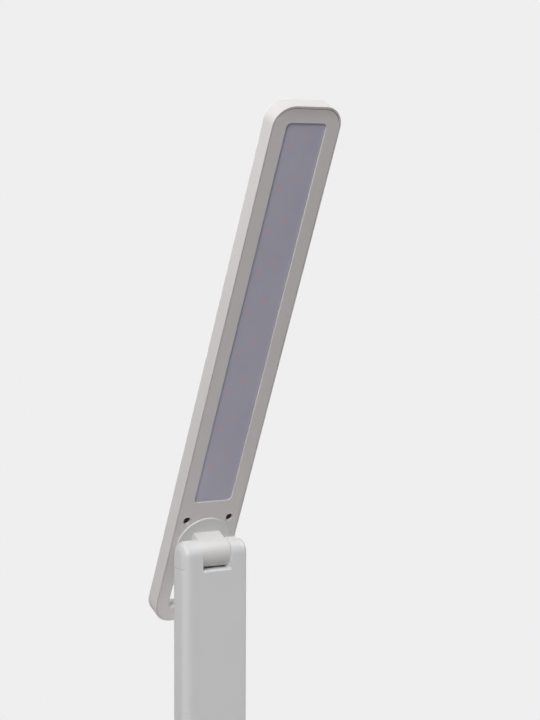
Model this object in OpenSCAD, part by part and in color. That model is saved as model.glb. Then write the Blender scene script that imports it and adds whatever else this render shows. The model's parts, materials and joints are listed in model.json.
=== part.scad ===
// Folding desk lamp: a flat LED bar that tilts and swivels on a hinged arm.
// Millimetres, +Z up, +X to the right, lit side towards -Y.
// Origin: centre of the base's underside, on the surface the lamp stands on.

/* [Base] */
// Width of the base, left to right
base_w = 110; // [106:1:130]
// Depth of the base, front to back
base_d = 180; // [180:1:210]
// Corner radius of the base, seen from above
base_r = 26; // [22:1:30]
// Radius along the base's top edge
base_edge_r = 4; // [1:0.5:6]

/* [Arm] */
// Distance between the arm's two hinge axes
arm_len = 268; // [264:1:300]
// Width of the arm
arm_w = 38.5; // [38:0.5:40]
// Thickness of the arm, front to back
arm_t = 15.6; // [15.6:0.1:16]
// Radius of the arm's long edges
arm_r = 4.9; // [4:0.1:5]
// Width of the notch that holds the knuckle
notch_w = 16.8; // [16.6:0.1:17.2]
// Distance of the hinge axes behind the base's centre
hinge_y = 56; // [52:1:56]

/* [Head] */
// Width of the head
head_w = 38; // [38:0.5:40]
// Length of the head above the swivel axis
head_up = 247.5; // [240:0.1:247.8]
// Length of the head's tail below the swivel axis
head_down = 49.9; // [49.4:0.1:52]
// Thickness of the head
head_t = 9.6; // [9.6:0.1:9.8]
// Corner radius of the head's outline
head_r = 11.1; // [10:0.1:13]
// Forward lean of the head from upright, in degrees
head_lean = 25.4; // [0:0.1:120]

/* [Light] */
// Width of the light window
window_w = 22.3; // [20:0.1:23]
// Lower end of the light window, above the swivel axis
window_low = 25.4; // [25:0.1:28]
// Upper end of the light window, above the swivel axis
window_high = 238.7; // [236:0.1:238.8]
// Number of LED packages along the board
led_count = 36; // [24:4:40]

/* [Tail hole] */
// Width of the finger hole in the tail
tail_hole_w = 23; // [18:0.5:23]
// Lower edge of the finger hole, below the swivel axis
tail_hole_low = 40.2; // [38:0.1:40.4]
// Upper edge of the finger hole, below the swivel axis
tail_hole_high = 25; // [24:0.1:26]

/* [Hidden] */

$fn = 64;
slip = 0.05;        // gap round a shaft or plug that slides or turns
lap = 0.01;         // how far a cutter runs past the face it cuts
far = 200;          // longer than any piece a cutter goes through

// Heights in the base
pad_t = 1.4;
plate_t = 2.2;
plate_z = pad_t;
cover_z = 1.6;
base_h = 18;
cover_wall = 2.2;
ceiling_z = base_h - cover_wall;
ballast_z = plate_z + plate_t + 0.2;
ballast_t = 5.6;
ballast_top = ballast_z + ballast_t;
board_z = 11;
board_t = 1.2;
board_top = board_z + board_t;

// Places in the base
pad_inset = 6;
ballast_w = base_w - 28;
ballast_d = base_d - 30;
boss_x = base_w / 2 - 15;
boss_y = base_d / 2 - 11;
ballast_screw_x = 30;
ballast_screw_y = 62;
flange_w = 46;
flange_d = 38;
flange_t = 3;
tower_screw_x = 17;
tower_screw_y = 14;
button_y = -66;
button_r = 6.8;
lens_y = -52.6;
lens_r = 1.2;
button_board_y = -63;
rear_board_y = base_d / 2 - 8.4;
board_w = 57;
board_d_front = 24;
board_d_rear = 11.4;
wire_x = 27.4;
socket_z = board_top + 1.6;
front_post_x = 22;
rear_post_x = 22;
battery_y = -10;

// Hinges
hinge_z = 39.5;
top_z = hinge_z + arm_len;
barrel_r = 7.2;
barrel_w = notch_w - 0.6;
ledge = 7.9;
ledge_edge = 0.7;
ear_x = notch_w / 2;
pin_r = 2.5;
recess_r = 5.2;
recess_x = 12.6;
cap_x = 18.15;
cap_drop = 6.65;
seam = 0.12;
end_in = 0.6;        // how far inside the hinge axis an arm end's rounding is centred

// Arm
arm_wall = 1.8;
web = 16;
arm_cover_w = 26.6;
arm_cover_t = 2;
arm_screw_x = 8.5;
arm_screw_in = 26;

// Head: depths are measured from the bezel's face towards the back
face_y = 9.38;
head_edge_r = 1;
rim = 0.6;
end_rim = 1.2;
side_gap = 0.2;
end_gap = 0.3;
hole_r = 2;
bezel_t = 1.5;
bezel_boss_t = 3;
diffuser_t = 1.2;
floor_t = 1.2;
floor_d = head_t - floor_t;
led_h = 0.7;
board_d = floor_d - 2;
disc_r = 15.5;
disc_t = 0.95;
hub_r = 7.5;
swivel_boss_r = 13;
head_screw_x = 12.6;
head_screw_z = 14.6;
head_screw_seat = 2.4;
led_x = 3.55;
led_top = window_high - 9;
led_pitch = (led_top - window_low - 8.7) / (led_count - 1);

white = [0.93, 0.93, 0.92];
milky = [0.80, 0.80, 0.84];
steel = [0.62, 0.63, 0.65];
dark_steel = [0.20, 0.19, 0.18];
rubber = [0.30, 0.30, 0.31];
board_green = [0.10, 0.35, 0.20];
plastic_black = [0.10, 0.10, 0.10];
cell_grey = [0.70, 0.72, 0.75];
board_white = [0.90, 0.91, 0.90];
copper_red = [0.70, 0.20, 0.16];
warm_yellow = [0.95, 0.80, 0.35];
cool_yellow = [0.93, 0.92, 0.55];
nylon = [0.90, 0.90, 0.87];

// ---- shared shapes ----

// Rectangle with round corners, centred
module round_rect(w, h, r) {
    square([w - 2 * r, h], center = true);
    square([w, h - 2 * r], center = true);
    for (x = [-1, 1], y = [-1, 1])
        translate([x * (w / 2 - r), y * (h / 2 - r)])
            circle(r);
}

// Rectangle with round corners between two heights
module round_band(w, low, high, r) {
    translate([0, (low + high) / 2])
        round_rect(w, high - low, r);
}

// Half of a flat section, from the axis out, with its top outer corner round
module soft_half(w, t, e) {
    square([w, t - e]);
    square([w - e, t]);
    translate([w - e, t - e])
        circle(e);
}

// Whole flat section with both top corners round
module soft_section(w, t, e) {
    soft_half(w / 2, t, e);
    mirror([1, 0])
        soft_half(w / 2, t, e);
}

// Plate with round corners in plan and a round top edge
module soft_plate(w, l, r, t, e) {
    for (x = [-1, 1], y = [-1, 1])
        translate([x * (w / 2 - r), y * (l / 2 - r), 0])
            rotate_extrude()
                soft_half(r, t, e);
    translate([0, l / 2 - r, 0])
        rotate([90, 0, 0])
            linear_extrude(l - 2 * r)
                soft_section(w, t, e);
    translate([r - w / 2, 0, 0])
        rotate([90, 0, 90])
            linear_extrude(w - 2 * r)
                soft_section(l, t, e);
}

// Screw pointing up, with its head's underside at z = 0 and a cross recess below
module screw(shank_r, shank_l, head_r, head_h) {
    difference() {
        union() {
            translate([0, 0, -lap])
                cylinder(r = shank_r, h = shank_l + lap);
            translate([0, 0, -head_h])
                cylinder(r = head_r, h = head_h);
        }
        for (a = [0, 90])
            rotate([0, 0, a])
                translate([-head_r * 0.6, -head_r * 0.11, -head_h - lap])
                    cube([head_r * 1.2, head_r * 0.22, head_h * 0.55]);
    }
}

// Round wire through a list of points
module wire(points, r) {
    for (i = [0 : len(points) - 2]) {
        run = points[i + 1] - points[i];
        turn = atan2(norm([run.x, run.y]), run.z);
        heading = atan2(run.y, run.x);
        translate(points[i])
            rotate([0, turn, heading])
                cylinder(r = r, h = norm(run), $fn = 24);
    }
    for (i = [1 : 1 : len(points) - 2])
        translate(points[i])
            sphere(r, $fn = 24);
}

// Cylinder along X between two places
module x_rod(r, low, high) {
    translate([low, 0, 0])
        rotate([0, 90, 0])
            cylinder(r = r, h = high - low);
}

// Places children at the corners of a rectangle
module at_corners(x, y) {
    for (i = [-1, 1], j = [-1, 1])
        translate([i * x, j * y, 0])
            children();
}

// ---- base ----

module base_pad() {
    color(rubber)
        linear_extrude(pad_t)
            round_rect(base_w - 2 * pad_inset, base_d - 2 * pad_inset, base_r - pad_inset);
}

module base_plate() {
    fit = cover_wall + 0.2;
    color(white)
        difference() {
            union() {
                translate([0, 0, plate_z])
                    linear_extrude(plate_t)
                        round_rect(base_w - 2 * fit, base_d - 2 * fit, base_r - fit);
                at_corners(boss_x, boss_y)
                    translate([0, 0, plate_z])
                        cylinder(r = 4, h = plate_t + 1.4);
            }
            at_corners(boss_x, boss_y) {
                translate([0, 0, plate_z - lap])
                    cylinder(r = 3, h = 1.9 + lap);
                cylinder(r = 1.6, h = 10);
            }
            at_corners(ballast_screw_x, ballast_screw_y) {
                translate([0, 0, plate_z - lap])
                    cylinder(r = 3, h = 1.3 + lap);
                cylinder(r = 1.6, h = 10);
            }
        }
}

module base_screws() {
    color(dark_steel)
        at_corners(boss_x, boss_y)
            translate([0, 0, plate_z + 1.9])
                screw(1.45, 9, 2.8, 1.6);
}

module ballast() {
    color(steel)
        difference() {
            translate([0, 0, ballast_z])
                linear_extrude(ballast_t)
                    round_rect(ballast_w, ballast_d, 8);
            at_corners(ballast_screw_x, ballast_screw_y)
                cylinder(r = 1.5, h = far);
            translate([0, hinge_y, 0])
                at_corners(tower_screw_x, tower_screw_y)
                    cylinder(r = 2, h = far);
        }
}

module ballast_screws() {
    color(dark_steel)
        at_corners(ballast_screw_x, ballast_screw_y)
            translate([0, 0, plate_z + 1.3])
                screw(1.45, 6, 2.8, 1.1);
}

// Post under the cover's top for a board screw
module board_post() {
    translate([0, 0, board_top])
        difference() {
            cylinder(r = 2.2, h = ceiling_z - board_top + lap);
            translate([0, 0, -lap])
                cylinder(r = 1, h = 3);
        }
}

module base_cover() {
    inner = 2 * cover_wall;
    color(white)
        difference() {
            union() {
                difference() {
                    translate([0, 0, cover_z])
                        soft_plate(base_w, base_d, base_r, base_h - cover_z, base_edge_r);
                    translate([0, 0, cover_z - lap])
                        soft_plate(base_w - inner, base_d - inner, base_r - cover_wall,
                            ceiling_z - cover_z + lap, max(base_edge_r - cover_wall, 0.5));
                }
                at_corners(boss_x, boss_y)
                    translate([0, 0, plate_z + plate_t + 1.5])
                        cylinder(r = 4, h = ceiling_z - plate_z - plate_t - 1.5 + lap);
                translate([0, button_board_y, 0])
                    for (x = [-front_post_x, front_post_x])
                        translate([x, 0, 0])
                            board_post();
                translate([0, rear_board_y, 0])
                    for (x = [-rear_post_x, rear_post_x])
                        translate([x, 0, 0])
                            board_post();
                translate([0, hinge_y, base_h - 1])
                    soft_plate(barrel_w + 10, 2 * barrel_r + 8, 5, 2.6, 1);
            }
            at_corners(boss_x, boss_y)
                translate([0, 0, cover_z])
                    cylinder(r = 1.5, h = 12);
            translate([0, hinge_y, ceiling_z - lap])
                linear_extrude(far)
                    round_rect(barrel_w + 0.6, 2 * barrel_r + 0.6, 1);
            translate([0, button_y, ceiling_z - lap])
                cylinder(r = button_r + 0.2, h = far);
            translate([0, lens_y, ceiling_z - lap])
                cylinder(r = lens_r + slip, h = far);
            translate([0, base_d / 2 + 1, socket_z])
                rotate([90, 0, 0])
                    linear_extrude(cover_wall + 2)
                        round_rect(9.8, 3.9, 1.9);
        }
}

module hinge_tower() {
    rise = hinge_z - ballast_top;
    color(white)
        translate([0, hinge_y, ballast_top])
            difference() {
                union() {
                    linear_extrude(flange_t)
                        round_rect(flange_w, flange_d, 4);
                    translate([0, 0, rise / 2])
                        cube([barrel_w, 2 * barrel_r, rise], center = true);
                    translate([0, 0, rise])
                        x_rod(barrel_r, -barrel_w / 2, barrel_w / 2);
                }
                translate([0, 0, rise])
                    x_rod(pin_r + slip, -far, far);
                translate([0, 0, -lap])
                    cylinder(r = 1.6, h = rise);
                at_corners(tower_screw_x, tower_screw_y)
                    translate([0, 0, -lap])
                        cylinder(r = 2.2, h = 10);
            }
}

module tower_screws() {
    color(dark_steel)
        translate([0, hinge_y, ballast_top + flange_t])
            at_corners(tower_screw_x, tower_screw_y)
                rotate([180, 0, 0])
                    screw(1.95, 7, 3.4, 2.6);
}

module battery() {
    color(cell_grey)
        translate([0, battery_y, ballast_top + 0.2])
            difference() {
                linear_extrude(5)
                    round_rect(52, 72, 3);
                translate([-27, 33, 4])
                    cube([54, 4, 2]);
            }
}

// Board with its two screw holes and a few parts on top
module board(w, d, post_x) {
    difference() {
        translate([-w / 2, -d / 2, board_z])
            cube([w, d, board_t]);
        for (x = [-post_x, post_x])
            translate([x, 0, 0])
                cylinder(r = 1.1, h = far);
    }
}

module control_board() {
    color(board_green)
        translate([0, rear_board_y, 0]) {
            board(board_w, board_d_rear, rear_post_x);
            translate([8, -4, board_top - lap])
                cube([5, 5, 1]);
            translate([-14, -4, board_top - lap])
                cube([6, 4, 1.4]);
        }
}

module charge_socket() {
    depth = 7.4;
    color(steel)
        translate([0, base_d / 2 - 0.8, socket_z])
            rotate([90, 0, 0])
                difference() {
                    linear_extrude(depth)
                        round_rect(8.9, 3.16, 1.57);
                    difference() {
                        translate([0, 0, -lap])
                            linear_extrude(depth - 0.8)
                                round_rect(8.34, 2.56, 1.27);
                        translate([-3.3, -0.35, 0.6])
                            cube([6.6, 0.7, depth]);
                    }
                }
}

module button_board() {
    color(board_green)
        translate([0, button_board_y, 0]) {
            board(board_w, board_d_front, front_post_x);
            translate([-0.8, lens_y - button_board_y - 0.8, board_top - lap])
                cube([1.6, 1.6, 0.6]);
        }
}

module switch_body() {
    color(plastic_black)
        translate([0, button_y, board_top])
            difference() {
                translate([-3, -3, 0])
                    cube([6, 6, 2.6]);
                translate([0, 0, 0.6])
                    cylinder(r = 1.7 + slip, h = 5);
            }
}

module board_screws() {
    color(dark_steel) {
        for (x = [-front_post_x, front_post_x])
            translate([x, button_board_y, board_z])
                screw(0.95, 3.6, 1.9, 1.1);
        for (x = [-rear_post_x, rear_post_x])
            translate([x, rear_board_y, board_z])
                screw(0.95, 3.6, 1.9, 1.1);
    }
}

// Two wires beside the battery, from the button board to the control board
module base_wires() {
    front = button_board_y + board_d_front / 2;
    back = rear_board_y - board_d_rear / 2;
    color(copper_red)
        for (x = [-wire_x, wire_x])
            translate([x, front, board_z + board_t / 2])
                rotate([-90, 0, 0])
                    cylinder(r = 0.55, h = back - front, $fn = 24);
}

module indicator_lens() {
    color([0.9, 0.95, 0.95])
        translate([0, lens_y, 0]) {
            translate([0, 0, 13.2])
                cylinder(r = lens_r, h = base_h - 13.2);
            translate([0, 0, ceiling_z - 0.8])
                cylinder(r = 1.8, h = 0.7);
        }
}

module power_button() {
    color(white)
        translate([0, button_y, 0]) {
            translate([0, 0, ceiling_z])
                rotate_extrude()
                    soft_half(button_r, base_h - ceiling_z + 0.5, 0.6);
            difference() {
                translate([0, 0, ceiling_z - 1])
                    cylinder(r = 7.8, h = 0.9);
                translate([0, 0, ceiling_z - 2])
                    cylinder(r = 5.2, h = 4);
            }
            difference() {
                translate([0, 0, ceiling_z - 1])
                    cylinder(r = button_r, h = 1 + lap);
                translate([0, 0, ceiling_z - 2])
                    cylinder(r = 5.2, h = 2);
            }
        }
}

module switch_plunger() {
    low = board_top + 1.6;
    color(plastic_black)
        translate([0, button_y, low])
            cylinder(r = 1.7, h = ceiling_z - low);
}

// ---- arm, standing on the lower hinge axis ----

module on_hinge() {
    translate([0, hinge_y, hinge_z])
        children();
}

// Outer form of the arm: its section drawn out straight and turned over at both ends
module arm_form() {
    translate([0, 0, end_in])
        linear_extrude(arm_len - 2 * end_in)
            round_rect(arm_w, arm_t, arm_r);
    for (top = [true, false])
        at_end(top)
            translate([0, 0, arm_len - end_in])
                rotate([0, 90, 0])
                    rotate([0, 0, 90])
                        rotate_extrude(angle = 180)
                            intersection() {
                                round_rect(arm_t, arm_w, arm_r);
                                translate([0, -arm_w / 2])
                                    square([arm_t, arm_w]);
                            }
}

// Turns a shape made for the arm's top end over to its bottom end
module at_end(top) {
    translate([0, 0, arm_len / 2])
        mirror([0, 0, top ? 0 : 1])
            translate([0, 0, -arm_len / 2])
                children();
}

module arm_shell() {
    color(white)
        on_hinge()
            difference() {
                arm_form();
                for (top = [true, false])
                    at_end(top)
                        arm_end_cut();
                translate([0, 0, web])
                    linear_extrude(arm_len - 2 * web)
                        difference() {
                            round_rect(arm_w - 2 * arm_wall, arm_t - 2 * arm_wall, 3);
                            arm_ribs();
                        }
                arm_cover_pocket(0.12);
                arm_bores(1, 1.05);
                translate([0, 0, -arm_t])
                    cylinder(r = 1.6, h = arm_len + 2 * arm_t);
            }
}

// Two stiffening ribs and the screw posts' flat seats, in plan
module arm_ribs() {
    for (x = [-1, 1])
        translate([x * arm_screw_x - 2.4, -arm_t / 2])
            square([4.8, 3.2]);
}

// Notch, hinge bore, nut recess and side cap seat of one end
module arm_end_cut() {
    translate([-ear_x, 0, arm_len - ledge])
        rotate([90, 0, 90])
            linear_extrude(notch_w) {
                translate([-arm_t, 0])
                    square(2 * arm_t);
                for (y = [-arm_t / 2, arm_t / 2])
                    translate([y, 0])
                        rotate(45)
                            square(ledge_edge * sqrt(2), center = true);
            }
    translate([0, 0, arm_len]) {
        x_rod(pin_r + slip, -far, far);
        x_rod(recess_r, recess_x, far);
        x_rod(recess_r, -far, -recess_x);
    }
    for (x = [-1, 1])
        translate([x * (cap_x + arm_w), 0, arm_len - cap_drop + arm_w - seam])
            cube([2 * arm_w + 2 * seam, 2 * arm_t, 2 * arm_w], center = true);
}

// Seat of the back cover, with a gap all round
module arm_cover_pocket(gap) {
    translate([0, arm_t / 2 + 1, 0])
        rotate([90, 0, 0])
            linear_extrude(arm_cover_t + 1)
                round_band(arm_cover_w + 2 * gap, web - gap, arm_len - web + gap, 3);
}

// Screw bores of the back cover, from low to high
module arm_bores(reach, r) {
    for (x = [-arm_screw_x, arm_screw_x], z = [arm_screw_in, arm_len - arm_screw_in])
        translate([x, arm_t / 2 + lap, z])
            rotate([90, 0, 0])
                cylinder(r = r, h = arm_t - reach - 0.6);
}

module arm_cover() {
    color(white)
        on_hinge()
            difference() {
                union() {
                    intersection() {
                        arm_cover_pocket(0);
                        translate([-far / 2, 0, 0])
                            cube([far, arm_t / 2, 2 * far]);
                    }
                    for (x = [-arm_screw_x, arm_screw_x],
                            z = [arm_screw_in, arm_len - arm_screw_in])
                        translate([x, arm_t / 2 - 1, z])
                            rotate([90, 0, 0])
                                cylinder(r = 2.3, h = 9.2);
                }
                arm_bores(1, 1.1);
                for (x = [-arm_screw_x, arm_screw_x],
                        z = [arm_screw_in, arm_len - arm_screw_in])
                    translate([x, arm_t / 2 + lap, z])
                        rotate([90, 0, 0])
                            cylinder(r = 2, h = 1.3 + lap);
            }
}

module arm_screws() {
    color(dark_steel)
        on_hinge()
            for (x = [-arm_screw_x, arm_screw_x],
                    z = [arm_screw_in, arm_len - arm_screw_in])
                translate([x, arm_t / 2 - 1.3, z])
                    rotate([90, 0, 0])
                        screw(1, 11, 1.9, 1.1);
}

module arm_wire() {
    color(copper_red)
        on_hinge()
            wire([[0, 0, 9], [0, 0, arm_len - 9]], 1.1);
}

// Side cap at the arm's top end; side is -1 for left and 1 for right
module side_cap(side) {
    intersection() {
        arm_form();
        translate([side * (cap_x + arm_w), 0, arm_len - cap_drop + arm_w])
            cube([2 * arm_w, 2 * arm_t, 2 * arm_w], center = true);
    }
    translate([0, 0, arm_len])
        x_rod(recess_r - slip, side > 0 ? cap_x - 0.6 : -cap_x - lap,
            side > 0 ? cap_x + lap : -cap_x + 0.6);
}

module upper_cap_left() {
    color(white)
        on_hinge()
            side_cap(-1);
}

module upper_cap_right() {
    color(white)
        on_hinge()
            side_cap(1);
}

module lower_cap_left() {
    color(white)
        on_hinge()
            at_end(false)
                side_cap(-1);
}

module lower_cap_right() {
    color(white)
        on_hinge()
            at_end(false)
                side_cap(1);
}

// ---- hinge hardware, along X about an axis ----

module hinge_pin() {
    color(steel) {
        x_rod(pin_r, -recess_x - lap, 17.2);
        x_rod(4.4, -recess_x - 2.8, -recess_x);
    }
}

module hinge_nut() {
    low = recess_x + 0.85;
    color(steel)
        difference() {
            translate([low, 0, 0])
                rotate([0, 90, 0])
                    cylinder(r = 4.6, h = 3.4, $fn = 6);
            x_rod(pin_r + 0.02, -far, far);
        }
}

module hinge_spring_washer() {
    color(dark_steel)
        difference() {
            x_rod(4.9, recess_x, recess_x + 0.8);
            x_rod(pin_r + 0.1, -far, far);
        }
}

module hinge_friction_washers() {
    color(nylon)
        for (side = [-1, 1])
            difference() {
                translate([side * (barrel_w / 2 + 0.15), 0, 0])
                    x_rod(6.4, -0.12, 0.12);
                x_rod(pin_r + 0.1, -far, far);
            }
}

module on_top() {
    translate([0, hinge_y, top_z])
        children();
}

module upper_pin() {
    on_top()
        hinge_pin();
}

module upper_nut() {
    on_top()
        hinge_nut();
}

module upper_spring_washer() {
    on_top()
        hinge_spring_washer();
}

module upper_friction_washers() {
    on_top()
        hinge_friction_washers();
}

module lower_pin() {
    on_hinge()
        hinge_pin();
}

module lower_nut() {
    on_hinge()
        hinge_nut();
}

module lower_spring_washer() {
    on_hinge()
        hinge_spring_washer();
}

module lower_friction_washers() {
    on_hinge()
        hinge_friction_washers();
}

// ---- knuckle and swivel: y runs from the hinge axis to the head's back ----

module in_head() {
    on_top()
        rotate([head_lean, 0, 0])
            children();
}

// Cylinder along the swivel axis between two depths behind the bezel's face
module swivel_rod(r, low, high) {
    translate([0, face_y + high, 0])
        rotate([90, 0, 0])
            cylinder(r = r, h = high - low);
}

// Places children on the swivel screws' circle
module at_swivel_screws() {
    for (a = [90, 210, 330])
        rotate([0, a, 0])
            translate([4.9, 0, 0])
                children();
}

module hinge_knuckle() {
    color(white)
        in_head()
            difference() {
                union() {
                    x_rod(barrel_r, -barrel_w / 2, barrel_w / 2);
                    translate([-barrel_w / 2, 0, -barrel_r])
                        cube([barrel_w, face_y - disc_t / 2, 2 * barrel_r]);
                    swivel_rod(disc_r, -disc_t + 0.35, -slip);
                    translate([0, face_y - disc_t + 0.35, 0])
                        rotate([90, 0, 0])
                            cylinder(r1 = disc_r, r2 = disc_r - 0.5, h = 0.35);
                    swivel_rod(hub_r, -disc_t / 2, bezel_boss_t + 0.5);
                }
                x_rod(pin_r + slip, -far, far);
                swivel_rod(1.6, -face_y, far);
                at_swivel_screws()
                    swivel_rod(1, -2.5, far);
            }
}

// Ring round the swivel axis
module swivel_ring(r_in, r_out, low, high) {
    difference() {
        swivel_rod(r_out, low, high);
        swivel_rod(r_in, low - lap, high + lap);
    }
}

module swivel_washer() {
    color(nylon)
        in_head()
            swivel_ring(hub_r + 0.2, 11.5, bezel_boss_t + 0.03, bezel_boss_t + 0.47);
}

module swivel_retainer() {
    low = bezel_boss_t + 0.5;
    color(steel)
        in_head()
            difference() {
                swivel_ring(1.6, 11.5, low, low + 1.4);
                at_swivel_screws()
                    swivel_rod(1.1, 0, far);
            }
}

module swivel_screws() {
    color(dark_steel)
        in_head()
            at_swivel_screws()
                translate([0, face_y + bezel_boss_t + 1.9, 0])
                    rotate([90, 0, 0])
                        screw(0.95, 6, 1.8, 1);
}

// ---- head ----

// Flat layer of the head between two depths, from a plan in x and z
module layer(low, high) {
    translate([0, face_y + high, 0])
        rotate([90, 0, 0])
            linear_extrude(high - low)
                children();
}

// Outline of the head, drawn in by one margin at the sides and another at the ends
module head_plan(side, end) {
    round_band(head_w - 2 * side, end - head_down, head_up - end, head_r - side);
}

// Outline of the finger hole, let out by a margin
module tail_hole_plan(margin) {
    round_band(tail_hole_w + 2 * margin, -tail_hole_low - margin,
        margin - tail_hole_high, hole_r + margin);
}

// Outline of the light window, let out by a margin
module window_plan(margin, r) {
    round_band(window_w + 2 * margin, window_low - margin, window_high + margin, r);
}

module at_head_screws() {
    for (x = [-head_screw_x, head_screw_x])
        translate([x, 0, head_screw_z])
            children();
}

module head_shell() {
    seat = bezel_t + 0.1;
    color(white)
        in_head()
            difference() {
                union() {
                    difference() {
                        translate([0, face_y, (head_up - head_down) / 2])
                            rotate([90, 0, 180])
                                soft_plate(head_w, head_up + head_down, head_r,
                                    head_t, head_edge_r);
                        layer(-lap, seat)
                            head_plan(rim, end_rim);
                        layer(seat - lap, floor_d)
                            head_plan(1.8, 1.8);
                    }
                    layer(seat, floor_d + lap)
                        tail_hole_plan(1.5);
                    at_head_screws()
                        swivel_rod(2.6, 4.3, floor_d + lap);
                    for (x = [-10, 10])
                        layer(board_d + 1.2, floor_d + lap)
                            translate([x, (window_low + window_high) / 2])
                                square([1.2, window_high - window_low - 6], center = true);
                }
                layer(-lap, far)
                    tail_hole_plan(0);
                at_head_screws()
                    swivel_rod(1, 4, floor_d - 0.4);
            }
}

module head_bezel() {
    color(white)
        in_head()
            difference() {
                union() {
                    layer(0, bezel_t)
                        head_plan(rim + side_gap, end_rim + end_gap);
                    swivel_rod(swivel_boss_r, bezel_t - lap, bezel_boss_t);
                    at_head_screws()
                        swivel_rod(3.4, bezel_t - lap, 4.2);
                }
                layer(-lap, far)
                    window_plan(0, 2.8);
                layer(-lap, far)
                    tail_hole_plan(0);
                swivel_rod(hub_r + slip, -lap, far);
                at_head_screws() {
                    swivel_rod(2.1, -lap, head_screw_seat);
                    swivel_rod(1.05, 0, far);
                }
            }
}

module diffuser() {
    low = bezel_t + slip;
    color(milky)
        in_head()
            layer(low, low + diffuser_t)
                window_plan(2, 2);
}

module light_frame() {
    low = bezel_t + diffuser_t + 0.1;
    color(board_white)
        in_head()
            layer(low, board_d - 0.02)
                difference() {
                    window_plan(2.6, 2.4);
                    window_plan(1.4, 1.4);
                }
}

module led_board() {
    color(board_white)
        in_head()
            layer(board_d, board_d + 1.2)
                window_plan(2.6, 1);
}

// LED packages whose number leaves one of the two given remainders by four
module led_row(remainders) {
    for (i = [0 : led_count - 1])
        if (i % 4 == remainders[0] || i % 4 == remainders[1])
            layer(board_d - led_h, board_d - 0.01)
                translate([i % 2 == 0 ? led_x : -led_x, led_top - i * led_pitch])
                    square([2.8, 3.5], center = true);
}

module warm_leds() {
    color(warm_yellow)
        in_head()
            led_row([0, 1]);
}

module cool_leds() {
    color(cool_yellow)
        in_head()
            led_row([2, 3]);
}

module head_screws() {
    color(dark_steel)
        in_head()
            at_head_screws()
                translate([0, face_y + head_screw_seat, 0])
                    rotate([-90, 0, 0])
                        screw(0.95, 5.2, 1.9, 1.1);
}

module head_wire() {
    y = face_y + floor_d - 0.75;
    color(copper_red)
        in_head()
            wire([[0, face_y + 3.6, 0], [0, y, 0], [0, y, window_low - 2.7]], 0.6);
}

base_pad();
base_plate();
base_screws();
ballast();
ballast_screws();
base_cover();
hinge_tower();
tower_screws();
battery();
control_board();
charge_socket();
button_board();
switch_body();
board_screws();
base_wires();
indicator_lens();
power_button();
switch_plunger();
arm_shell();
arm_cover();
arm_screws();
arm_wire();
upper_cap_left();
upper_cap_right();
lower_cap_left();
lower_cap_right();
upper_pin();
upper_nut();
upper_spring_washer();
upper_friction_washers();
lower_pin();
lower_nut();
lower_spring_washer();
lower_friction_washers();
hinge_knuckle();
swivel_washer();
swivel_retainer();
swivel_screws();
head_shell();
head_bezel();
diffuser();
light_frame();
led_board();
warm_leds();
cool_leds();
head_screws();
head_wire();
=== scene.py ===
"""Looks of the folding desk lamp: a white LED bar on a hinged arm over a low base."""
import json
import math

import bmesh
import bpy
from mathutils import Matrix, Vector


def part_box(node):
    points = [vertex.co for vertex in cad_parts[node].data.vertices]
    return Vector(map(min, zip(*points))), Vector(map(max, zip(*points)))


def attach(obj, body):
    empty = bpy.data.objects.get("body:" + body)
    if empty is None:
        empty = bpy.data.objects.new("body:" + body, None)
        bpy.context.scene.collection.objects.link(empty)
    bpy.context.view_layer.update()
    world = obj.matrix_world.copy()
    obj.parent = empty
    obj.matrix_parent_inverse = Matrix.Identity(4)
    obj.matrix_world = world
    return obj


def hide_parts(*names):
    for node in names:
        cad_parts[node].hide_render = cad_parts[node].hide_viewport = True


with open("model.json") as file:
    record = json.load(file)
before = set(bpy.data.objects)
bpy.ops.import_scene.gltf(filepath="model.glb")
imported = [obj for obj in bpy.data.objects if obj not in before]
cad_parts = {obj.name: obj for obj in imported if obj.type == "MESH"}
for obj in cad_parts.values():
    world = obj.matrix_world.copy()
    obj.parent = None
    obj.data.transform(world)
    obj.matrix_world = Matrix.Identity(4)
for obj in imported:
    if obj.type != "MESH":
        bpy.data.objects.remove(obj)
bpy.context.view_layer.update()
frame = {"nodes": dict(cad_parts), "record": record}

MM = 0.001
MICRON = 0.000001

# ---- measures, in millimetres; the hinge places are read from the imported solids ----


def middle(node):
    """Middle of a node's box, in millimetres."""
    low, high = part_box(node)
    return (low + high) / 2 / MM


UPPER_HINGE = middle("upper_pin")
UPPER_HINGE.x = 0
LOWER_HINGE = middle("lower_pin")
LOWER_HINGE.x = 0
ARM_LENGTH = UPPER_HINGE.z - LOWER_HINGE.z
LEAN = math.radians(25.4)

# how far cutters reach: past the arm's ends, past the hinges' sides, through the head
PAST, PAST_SIDES, THROUGH = 20, 30, 9

# arm, its cover and its caps; ends are measured from the hinge axes
ARM_W, ARM_T, ARM_R = 38.5, 15.6, 4.9
ARM_WALL, ARM_END_IN = 1.8, 0.6
NOTCH_W = 16.8
LEDGE = 7.9
LEDGE_ROUND = 1.1
CAP_X = 18.15
CAP_DROP = 6.65
SEAM, CAP_SEAM = 0.07, 0.16
WEB = 16
COVER_W, COVER_T, COVER_R = 26.6, 2.0, 3
COVER_SCREW_X, COVER_SCREW_IN = 8.5, 26
COVER_BOSS_R, COVER_BOSS_LOW = 2.3, -10.2
COVER_WELL_R, COVER_WELL_LOW, COVER_PILOT_R = 2, -1.3, 1.1

# hinge barrels, and the bores and recesses along their axes
BARREL_R = 7.2
BARREL_W = NOTCH_W - 0.6
FLANK_R, FLANK_GAP = 5.7, 0.06
NECK_W = 15.4
PIN_BORE_R, WIRE_BORE_R = 2.55, 1.6
RECESS_X, RECESS_R, PLUG_R = 12.6, 5.2, 5.15

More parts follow.
